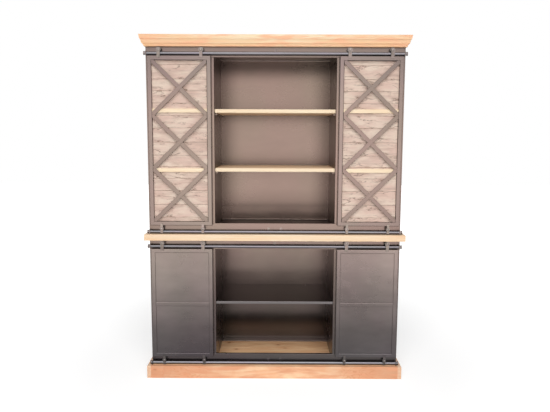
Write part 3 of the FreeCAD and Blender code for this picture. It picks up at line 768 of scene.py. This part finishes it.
print("Planks in one upper door:", len(corners_of_solids("upper_left_door_planks")))

# %% [markdown]
# ## A bench for flat bars and boards
# Most pieces here are bars, sheets and boards, cut square and then softened at their edges. One
# helper draws an outline on the front and pushes it back. Another rounds its edges, because an edge
# that catches a little light tells the eye that steel is thick.

# %% Bars and boards
def prism(work, outline, front, back):
    """Adds a solid whose outline lies across the front, in x and z, from front to back."""
    near = [work.verts.new((x, front, z)) for x, z in outline]
    far = [work.verts.new((x, back, z)) for x, z in outline]
    work.faces.new(near)
    work.faces.new(reversed(far))
    for index, corner in enumerate(near):
        after = (index + 1) % len(near)
        work.faces.new((corner, far[index], far[after], near[after]))


def slab(work, low, high):
    """Adds a board between two corners."""
    outline = [(low[0], low[2]), (high[0], low[2]), (high[0], high[2]), (low[0], high[2])]
    prism(work, outline, low[1], high[1])


def ease(work, width, steps=2, longer_than=0):
    """Rounds the edges a little, all of them or only the long ones, and turns every face outwards."""
    bmesh.ops.recalc_face_normals(work, faces=work.faces)
    chosen = [edge for edge in work.edges if edge.calc_length() > longer_than]
    bmesh.ops.bevel(
        work, geom=chosen, offset=width, offset_type="OFFSET", segments=steps,
        profile=0.5, affect="EDGES", clamp_overlap=True,
    )


def add_piece(name, mesh, material, body, slot, stands_for=()):
    """Links a mesh as a piece of the dresser that rides on a body."""
    mesh.materials.clear()
    mesh.materials.append(material)
    piece = bpy.data.objects.new(name, mesh)
    collection.objects.link(piece)
    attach(piece, body)
    if stands_for:
        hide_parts(*stands_for)
    return piece


def worked_piece(name, work, *rest):
    """A piece from a bench mesh in millimetres; the rest is what add_piece takes."""
    bmesh.ops.scale(work, vec=(MM, MM, MM), verts=work.verts)
    mesh = bpy.data.meshes.new(name)
    work.to_mesh(mesh)
    work.free()
    return add_piece(name, mesh, *rest)


print("Doors that get new pieces:", len(DOORS))

# %% [markdown]
# ## The cabinets' face frames
# Each cabinet has a front frame of square tube: a header and a sill right across, and four posts
# between them. The frame could be one plate with holes, but each bar is a separate eased block here,
# so that a fine line shows at each weld.

# %% Face frames
HEADER, SILL = 62, 66
STILE, POST = 23.5, 25
POST_INNER = 385
TUBE_EASE = 1.2


def face_frame(stage):
    """Header, sill and four posts, each softened along its edges."""
    node = f"{stage}_face_frame"
    low, high = box_mm(node)
    work = bmesh.new()
    slab(work, low, (high.x, high.y, low.z + SILL))
    slab(work, (low.x, low.y, high.z - HEADER), high)
    for start, end in (
        (low.x, low.x + STILE), (-POST_INNER - POST, -POST_INNER),
        (POST_INNER, POST_INNER + POST), (high.x - STILE, high.x),
    ):
        slab(work, (start, low.y, low.z + SILL), (end, high.y, high.z - HEADER))
    ease(work, TUBE_EASE)
    return worked_piece(f"{stage}_front_tubes", work, cabinet_steel, ROOT, "dark_steel", (node,))


for stage in ("upper", "lower"):
    print(face_frame(stage).name, "made")

# %% [markdown]
# ## The doors' frames
# The doors are frames of the same tube. Their bars could be butted as on the cabinets, but they are
# cut at 45 degrees at the corners, as is usual for a light door, so that no tube end shows. The
# lower doors have one more bar across the middle, which divides their two sheet panels.

# %% Door frames
DOOR_BAR = 26
BAR_EASE = 3.4
LONG_EDGE = 100


def mitred_frame(work, low, high, width):
    """Four bars round a rectangle that meet on the slant at the corners."""
    outer = [(low.x, low.z), (high.x, low.z), (high.x, high.z), (low.x, high.z)]
    inner = [
        (low.x + width, low.z + width), (high.x - width, low.z + width),
        (high.x - width, high.z - width), (low.x + width, high.z - width),
    ]
    for index in range(len(outer)):
        after = (index + 1) % len(outer)
        prism(work, [outer[index], outer[after], inner[after], inner[index]], low.y, high.y)


def door_frame(door):
    """The frame of one door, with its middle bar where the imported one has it."""
    node = f"{door}_frame"
    low, high = box_mm(node)
    work = bmesh.new()
    mitred_frame(work, low, high, DOOR_BAR)
    if door in LOWER_DOORS:
        first_panel = corners_of_solids(f"{door}_panels")[0]
        middle = first_panel[1].z
        slab(work, (low.x + DOOR_BAR, low.y, middle), (high.x - DOOR_BAR, high.y, middle + DOOR_BAR))
    ease(work, BAR_EASE, steps=3, longer_than=LONG_EDGE)
    material = door_steel if door in UPPER_DOORS else panel_steel
    return worked_piece(f"{door}_tubes", work, material, door, "dark_steel", (node,))


for door in DOORS:
    print(door_frame(door).name, "made")

# %% [markdown]
# ## The crosses
# Three crosses of flat bar brace each upper door. Two whole bars could cross by running through each
# other, but real steel can't, so one bar of a cross runs right through and the other is two halves
# that meet its sides. A bar's slanted ends are found from its width and the cell's diagonal.

# %% Crosses
CROSS_BAR = 25
CROSS_CELLS = 3
CROSS_EASE = 0.6


def cross_outlines(width, height):
    """Outlines of one cross's three bars, from the cell's lower left corner."""
    diagonal = math.hypot(width, height)
    cut_x = CROSS_BAR / 2 * diagonal / height
    cut_z = CROSS_BAR / 2 * diagonal / width
    whole = [
        (0, 0), (cut_x, 0), (width, height - cut_z), (width, height), (width - cut_x, height), (0, cut_z),
    ]
    half = [
        (width - cut_x, 0), (width, 0), (width, cut_z),
        (width / 2 + cut_x, height / 2), (width / 2, height / 2 - cut_z),
    ]
    other_half = [(width - x, height - z) for x, z in half]
    return whole, half, other_half


def crosses(door):
    """All the crosses of one upper door."""
    node = f"{door}_cross_bars"
    low, high = box_mm(node)
    cell = (high.z - low.z) / CROSS_CELLS
    work = bmesh.new()
    for index in range(CROSS_CELLS):
        for outline in cross_outlines(high.x - low.x, cell):
            placed = [(low.x + x, low.z + index * cell + z) for x, z in outline]
            prism(work, placed, low.y, high.y)
    ease(work, CROSS_EASE)
    return worked_piece(f"{door}_crosses", work, cross_steel, door, "dark_steel", (node,))


for door in UPPER_DOORS:
    print(crosses(door).name, "made")

# %% [markdown]
# ## Boards with softened edges
# A planed board never has knife edges. A live modifier could round them, but a finished mesh is
# simpler, so each board is made again from its packed corners with its edges eased.
# Each carries its vector into the grain as an attribute of its points. The shelves' fronts are the
# roundest, and the floor inside is three boards.

# %% Floor boards, shelves and crown lid
BOARD_EASE = 1.6
SHELF_EASE = 5.0
FLOOR_BOARDS = 3
BOARD_STEPS = (0.381966, 0.618034, 0.754878)


def board_share(index):
    """A different point of the unit cube for each board, from fixed steps round it."""
    return tuple((index * step) % 1 for step in BOARD_STEPS)


def boards(name, corners, material, body, slot, stands_for=(), width=BOARD_EASE):
    """Eased boards between pairs of corners, joined as one piece with an attribute for each board."""
    work = bmesh.new()
    layer = work.verts.layers.float_vector.new("board")
    for index, (low, high) in enumerate(corners):
        single = bmesh.new()
        slab(single, low, high)
        ease(single, width)
        start = len(work.verts)
        mesh = bpy.data.meshes.new(name)
        single.to_mesh(mesh)
        single.free()
        work.from_mesh(mesh)
        bpy.data.meshes.remove(mesh)
        work.verts.ensure_lookup_table()
        for vert in work.verts[start:]:
            vert[layer] = board_share(index + 1)
    return worked_piece(name, work, material, body, slot, stands_for)


floor_low, floor_high = box_mm("floor_boards")
board_depth = (floor_high.y - floor_low.y) / FLOOR_BOARDS
floor_corners = [
    (
        Vector((floor_low.x, floor_low.y + index * board_depth, floor_low.z)),
        Vector((floor_high.x, floor_low.y + (index + 1) * board_depth, floor_high.z)),
    )
    for index in range(FLOOR_BOARDS)
]
boards("lower_floor_planks", floor_corners, floor_wood, ROOT, "light_wood", ("floor_boards",))
for name, node, material, width in (
    ("upper_shelf_boards", "upper_shelves", shelf_wood, SHELF_EASE),
    ("crown_lid", "crown_top_board", crown_wood, BOARD_EASE),
):
    boards(name, corners_of_solids(node), material, ROOT, "light_wood", (node,), width)
print("Floor board depth in millimetres:", round(board_depth, 1))

# %% [markdown]
# ## The plinth
# The plinth is a low box of boards. Its corners could be mitred like the crown's, but the photograph
# shows end grain at both front corners. So the end boards run right to the front, and the long ones
# stop between them. A seam near the left end shows that the front is two lengths.

# %% Plinth
PLINTH_SEAM = -728
long_boards = corners_of_solids("plinth_long_boards")
front_board, back_board = sorted(long_boards, key=lambda board: board[0].y)
end_boards = [
    (Vector((low.x, front_board[0].y, low.z)), Vector((high.x, back_board[1].y, high.z)))
    for low, high in corners_of_solids("plinth_end_boards")
]
inner_left, inner_right = end_boards[0][1].x, end_boards[1][0].x
between_ends = [
    (Vector((start, low.y, low.z)), Vector((end, high.y, high.z)))
    for (low, high), start, end in (
        (front_board, inner_left, PLINTH_SEAM), (front_board, PLINTH_SEAM, inner_right),
        (back_board, inner_left, inner_right),
    )
]
boards("plinth_ends", end_boards, plinth_end_wood, ROOT, "light_wood", ("plinth_end_boards",))
boards("plinth_front_and_back", between_ends, plinth_wood, ROOT, "light_wood", ("plinth_long_boards",))
print("Plinth boards:", len(end_boards) + len(between_ends))

# %% [markdown]
# ## Battens and folded shelves
# Two pale battens show through the crosses of each upper door, at the height of the shelves. The
# lower shelves are folded sheet, with a bend that is never quite sharp. Their outline isn't a plain
# board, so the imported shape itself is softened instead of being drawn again.

# %% Battens and folded shelves
BATTEN_EASE = 1.0
SHEET_EASE = 0.7


def softened(node, name, width, material, slot):
    """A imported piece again, with its loose triangles joined and its edges rounded."""
    work = bmesh.new()
    work.from_mesh(frame["nodes"][node].data)
    bmesh.ops.remove_doubles(work, verts=work.verts, dist=WELD_DISTANCE)
    bmesh.ops.dissolve_limit(work, angle_limit=math.radians(1), verts=work.verts, edges=work.edges)
    bmesh.ops.scale(work, vec=(1 / MM,) * 3, verts=work.verts)
    ease(work, width)
    return worked_piece(name, work, material, ROOT, slot, (node,))


for door in UPPER_DOORS:
    node = f"{door}_battens"
    boards(
        f"{door}_light_battens", corners_of_solids(node), shelf_wood, door, "light_wood", (node,),
        BATTEN_EASE,
    )
folded = softened("lower_shelves", "lower_folded_shelves", SHEET_EASE, shelf_steel, "dark_steel")
print(folded.name, "has", len(folded.data.polygons), "faces")

# %% [markdown]
# ## Points and trees
# Planks and bolt caps repeat, so they are made by Geometry Nodes: a tree puts a copy of one shape on
# each point of a cloud. Copies could be made in a loop, but a tree keeps its numbers as named inputs
# that can be turned by hand. The result is taken as a plain mesh, and the points are thrown away.

# %% Points and trees
def node_tree(name, inputs):
    """An empty tree of geometry nodes with named inputs, and the short way to add nodes to it."""
    tree = bpy.data.node_groups.new(name, "GeometryNodeTree")
    tree.interface.new_socket("Geometry", in_out="OUTPUT", socket_type="NodeSocketGeometry")
    for label, kind in {"Geometry": "Geometry", **inputs}.items():
        tree.interface.new_socket(label, in_out="INPUT", socket_type="NodeSocket" + kind)
    add = adder(tree)
    return tree, add("NodeGroupInput").outputs, add


def named(add, label):
    """Reads a vector attribute."""
    reader = add("GeometryNodeInputNamedAttribute", {"Name": label}, data_type="FLOAT_VECTOR")
    return reader.outputs["Attribute"]


def placed_copies(add, points, shape, scale):
    """A copy of a shape on each point, at a scale, as real geometry."""
    feeds = {"Points": points, "Instance": shape, "Scale": scale}
    copies = add("GeometryNodeInstanceOnPoints", feeds).outputs[0]
    return add("GeometryNodeRealizeInstances", {0: copies}).outputs[0]


def show(add, geometry, material):
    """Ends a tree with geometry in a material."""
    feeds = {"Geometry": geometry, "Material": material}
    add("NodeGroupOutput", {"Geometry": add("GeometryNodeSetMaterial", feeds).outputs[0]})


def dots(name, places, **attributes):
    """Points with vector attributes, for a tree to build on."""
    mesh = bpy.data.meshes.new(name + "_places")
    mesh.from_pydata(places, [], [])
    for label, numbers in attributes.items():
        layer = mesh.attributes.new(label, "FLOAT_VECTOR", "POINT")
        layer.data.foreach_set("vector", [number for vector in numbers for number in vector])
    return mesh


def run_tree(tree, points, values, name):
    """Runs a tree on points, and returns the plain mesh that it makes."""
    base = bpy.data.objects.new(name + "_points", points)
    collection.objects.link(base)
    modifier = base.modifiers.new("tree", "NODES")
    modifier.node_group = tree
    for item in tree.interface.items_tree:
        if item.in_out == "INPUT" and item.name in values:
            modifier[item.identifier] = values[item.name]
    graph = bpy.context.evaluated_depsgraph_get()
    mesh = bpy.data.meshes.new_from_object(base.evaluated_get(graph))
    mesh.name = name
    bpy.data.objects.remove(base)
    return mesh


print("Objects in the scene so far:", len(collection.all_objects))

# %% [markdown]
# ## Rough-sawn planks
# The planks are the busiest surface of the dresser. Each is a finely divided board, whose surface
# sinks a little by noise: shallow saw marks over the face, and deeper chips along its long edges,
# which open gaps between the planks. Painted wear would stay flat in a low light.

# %% A tree for rough planks
PLANK_CELLS = {"Cells along": 90, "Cells deep": 3, "Cells high": 17}
PLANK_WEAR = {"Saw depth": 0.9 * MM, "Chip depth": 3.0 * MM}
PLANK_SEED = 4.0
SAW_RANGE, CHIP_RANGE = (0.3, 0.7), (0.42, 0.7)


def plank_tree(material):
    """Planks at points, each as large as its span, worn by noise along their normals."""
    inputs = {label: "Int" for label in PLANK_CELLS} | {label: "Float" for label in (*PLANK_WEAR, "Seed")}
    tree, given, add = node_tree("rough_planks", inputs)
    counts = {f"Vertices {axis}": given[label] for axis, label in zip("XYZ", PLANK_CELLS)}
    block = add("GeometryNodeMeshCube", {"Size": (1, 1, 1)} | counts).outputs["Mesh"]
    planks = placed_copies(add, given["Geometry"], block, named(add, "span"))
    position = add("GeometryNodeInputPosition").outputs[0]
    jumped = vectors(add, "MULTIPLY_ADD", named(add, "board"), BOARD_JUMP, position)
    place = vectors(add, "ADD", jumped, given["Seed"])
    marks = noise(add, place, scale=1.0, roughness=0.5, stretch=(14, 14, 90))
    bites = noise(add, place, scale=1.0, roughness=0.5, stretch=(22, 9, 9))
    normal = add("GeometryNodeInputNormal").outputs[0]
    edge = maths(add, "ABSOLUTE", add("SeparateXYZ", {0: normal}).outputs["Z"])
    saw = product(add, spread(add, marks, *SAW_RANGE), given["Saw depth"])
    chips = product(add, spread(add, bites, *CHIP_RANGE), given["Chip depth"], edge)
    inward = product(add, maths(add, "ADD", saw, chips), -1.0)
    feeds = {"Geometry": planks, "Offset": scaled(add, normal, inward)}
    show(add, add("GeometryNodeSetPosition", feeds).outputs[0], material)
    return tree


planks_tree = plank_tree(plank_wood)
print("Nodes in the tree for planks:", len(planks_tree.nodes))

# %% [markdown]
# ## Planks and tongues on the doors
# Each upper door holds a stack of planks, whose chipped edges would let dark gaps show between them.
# A backing sheet could close these, but real cladding has a loose tongue in each joint, so each gap
# gets one and looks brown.

# %% Planks and tongues
TONGUE_SETBACK, TONGUE_REACH = 1.5, 5
for number, door in enumerate(UPPER_DOORS):
    node = f"{door}_planks"
    name = f"{door}_rough_planks"
    solids = corners_of_solids(node)
    points = dots(
        name, [(low + high) / 2 * MM for low, high in solids],
        span=[(high - low) * MM for low, high in solids],
        board=[board_share(index + 1 + number * len(solids)) for index in range(len(solids))],
    )
    mesh = run_tree(planks_tree, points, PLANK_CELLS | PLANK_WEAR | {"Seed": PLANK_SEED}, name)
    print(name, "has", len(mesh.polygons), "faces")
    add_piece(name, mesh, plank_wood, door, "rough_planks", (node,))
    tongues = [
        (
            Vector((below[0].x, below[0].y + TONGUE_SETBACK, below[1].z - TONGUE_REACH)),
            Vector((below[1].x, below[1].y - TONGUE_SETBACK, above[0].z + TONGUE_REACH)),
        )
        for below, above in zip(solids, solids[1:])
    ]
    boards(f"{door}_tongues", tongues, tongue_wood, door, "rough_planks")

# %% [markdown]
# ## Bolt caps
# The straps and guides are held by bolts with low domed heads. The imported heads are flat, and with
# rounded edges they would still have a flat middle, so a tree sets one dome on every bolt head.

# %% Bolt caps
CAP_SHAPE = {"Radius": 7.2 * MM, "Height": 2.6 * MM}
CAP_SIDES = {"Segments": 24, "Rings": 12}
# Heads reach further forward than this, and nuts don't
HEADS_BEFORE = -236


def cap_tree(material):
    """A low dome on each point, bulging to the front."""
    inputs = {label: "Float" for label in CAP_SHAPE} | {label: "Int" for label in CAP_SIDES}
    tree, given, add = node_tree("bolt_caps", inputs)
    ball = add("GeometryNodeMeshUVSphere", {"Radius": 1} | {label: given[label] for label in CAP_SIDES})
    size = add("CombineXYZ", {"X": given["Radius"], "Y": given["Height"], "Z": given["Radius"]})
    domes = placed_copies(add, given["Geometry"], ball.outputs["Mesh"], size.outputs[0])
    show(add, add("GeometryNodeSetShadeSmooth", {"Geometry": domes}).outputs[0], material)
    return tree


caps_tree = cap_tree(bolt_steel)
for door in DOORS:
    heads = [
        ((low.x + high.x) / 2 * MM, low.y * MM, (low.z + high.z) / 2 * MM)
        for low, high in corners_of_solids(f"{door}_bolts")
        if high.z - low.z > CAP_SHAPE["Radius"] / MM and low.y < HEADS_BEFORE
    ]
    name = f"{door}_bolt_caps"
    mesh = run_tree(caps_tree, dots(name, heads), CAP_SHAPE | CAP_SIDES, name)
    print(name, "on", len(heads), "heads")
    add_piece(name, mesh, bolt_steel, door, "bolt_steel")

# %% [markdown]
# ## Folded lips at the back
# Where the floor and the ceiling of the open bays meet the back, the sheet is folded over in a
# narrow lip, and at the lower floor a low angle runs along the back. In the photograph they show as
# thin light lines. A painted line would do from straight in front, but not from the side, so they
# are three rounded bars, in a steel lighter than the backs: a painted highlight along the folds.

# %% Back lips
LIP_HEIGHT, LIP_DEPTH, LIP_EASE = 7, 5, 2.2
ANGLE_HEIGHT, ANGLE_DEPTH = 8, 52


def back_lips():
    """Three lips across the middle bay: at the upper ceiling, the upper floor and the lower floor."""
    back = box_mm("lower_back_panel")[0].y
    inner = box_mm("upper_left_partition")[1].x
    work = bmesh.new()
    for base, height, depth in (
        (box_mm("upper_ceiling_sheet")[0].z - LIP_HEIGHT, LIP_HEIGHT, LIP_DEPTH),
        (box_mm("upper_floor_sheet")[1].z, LIP_HEIGHT, LIP_DEPTH),
        (floor_high.z, ANGLE_HEIGHT, ANGLE_DEPTH),
    ):
        slab(work, (inner, back - depth, base), (-inner, back, base + height))
    ease(work, LIP_EASE, steps=3)
    return worked_piece("middle_bay_back_lips", work, lip_highlight_steel, ROOT, "dark_steel")


print(back_lips().name, "made")
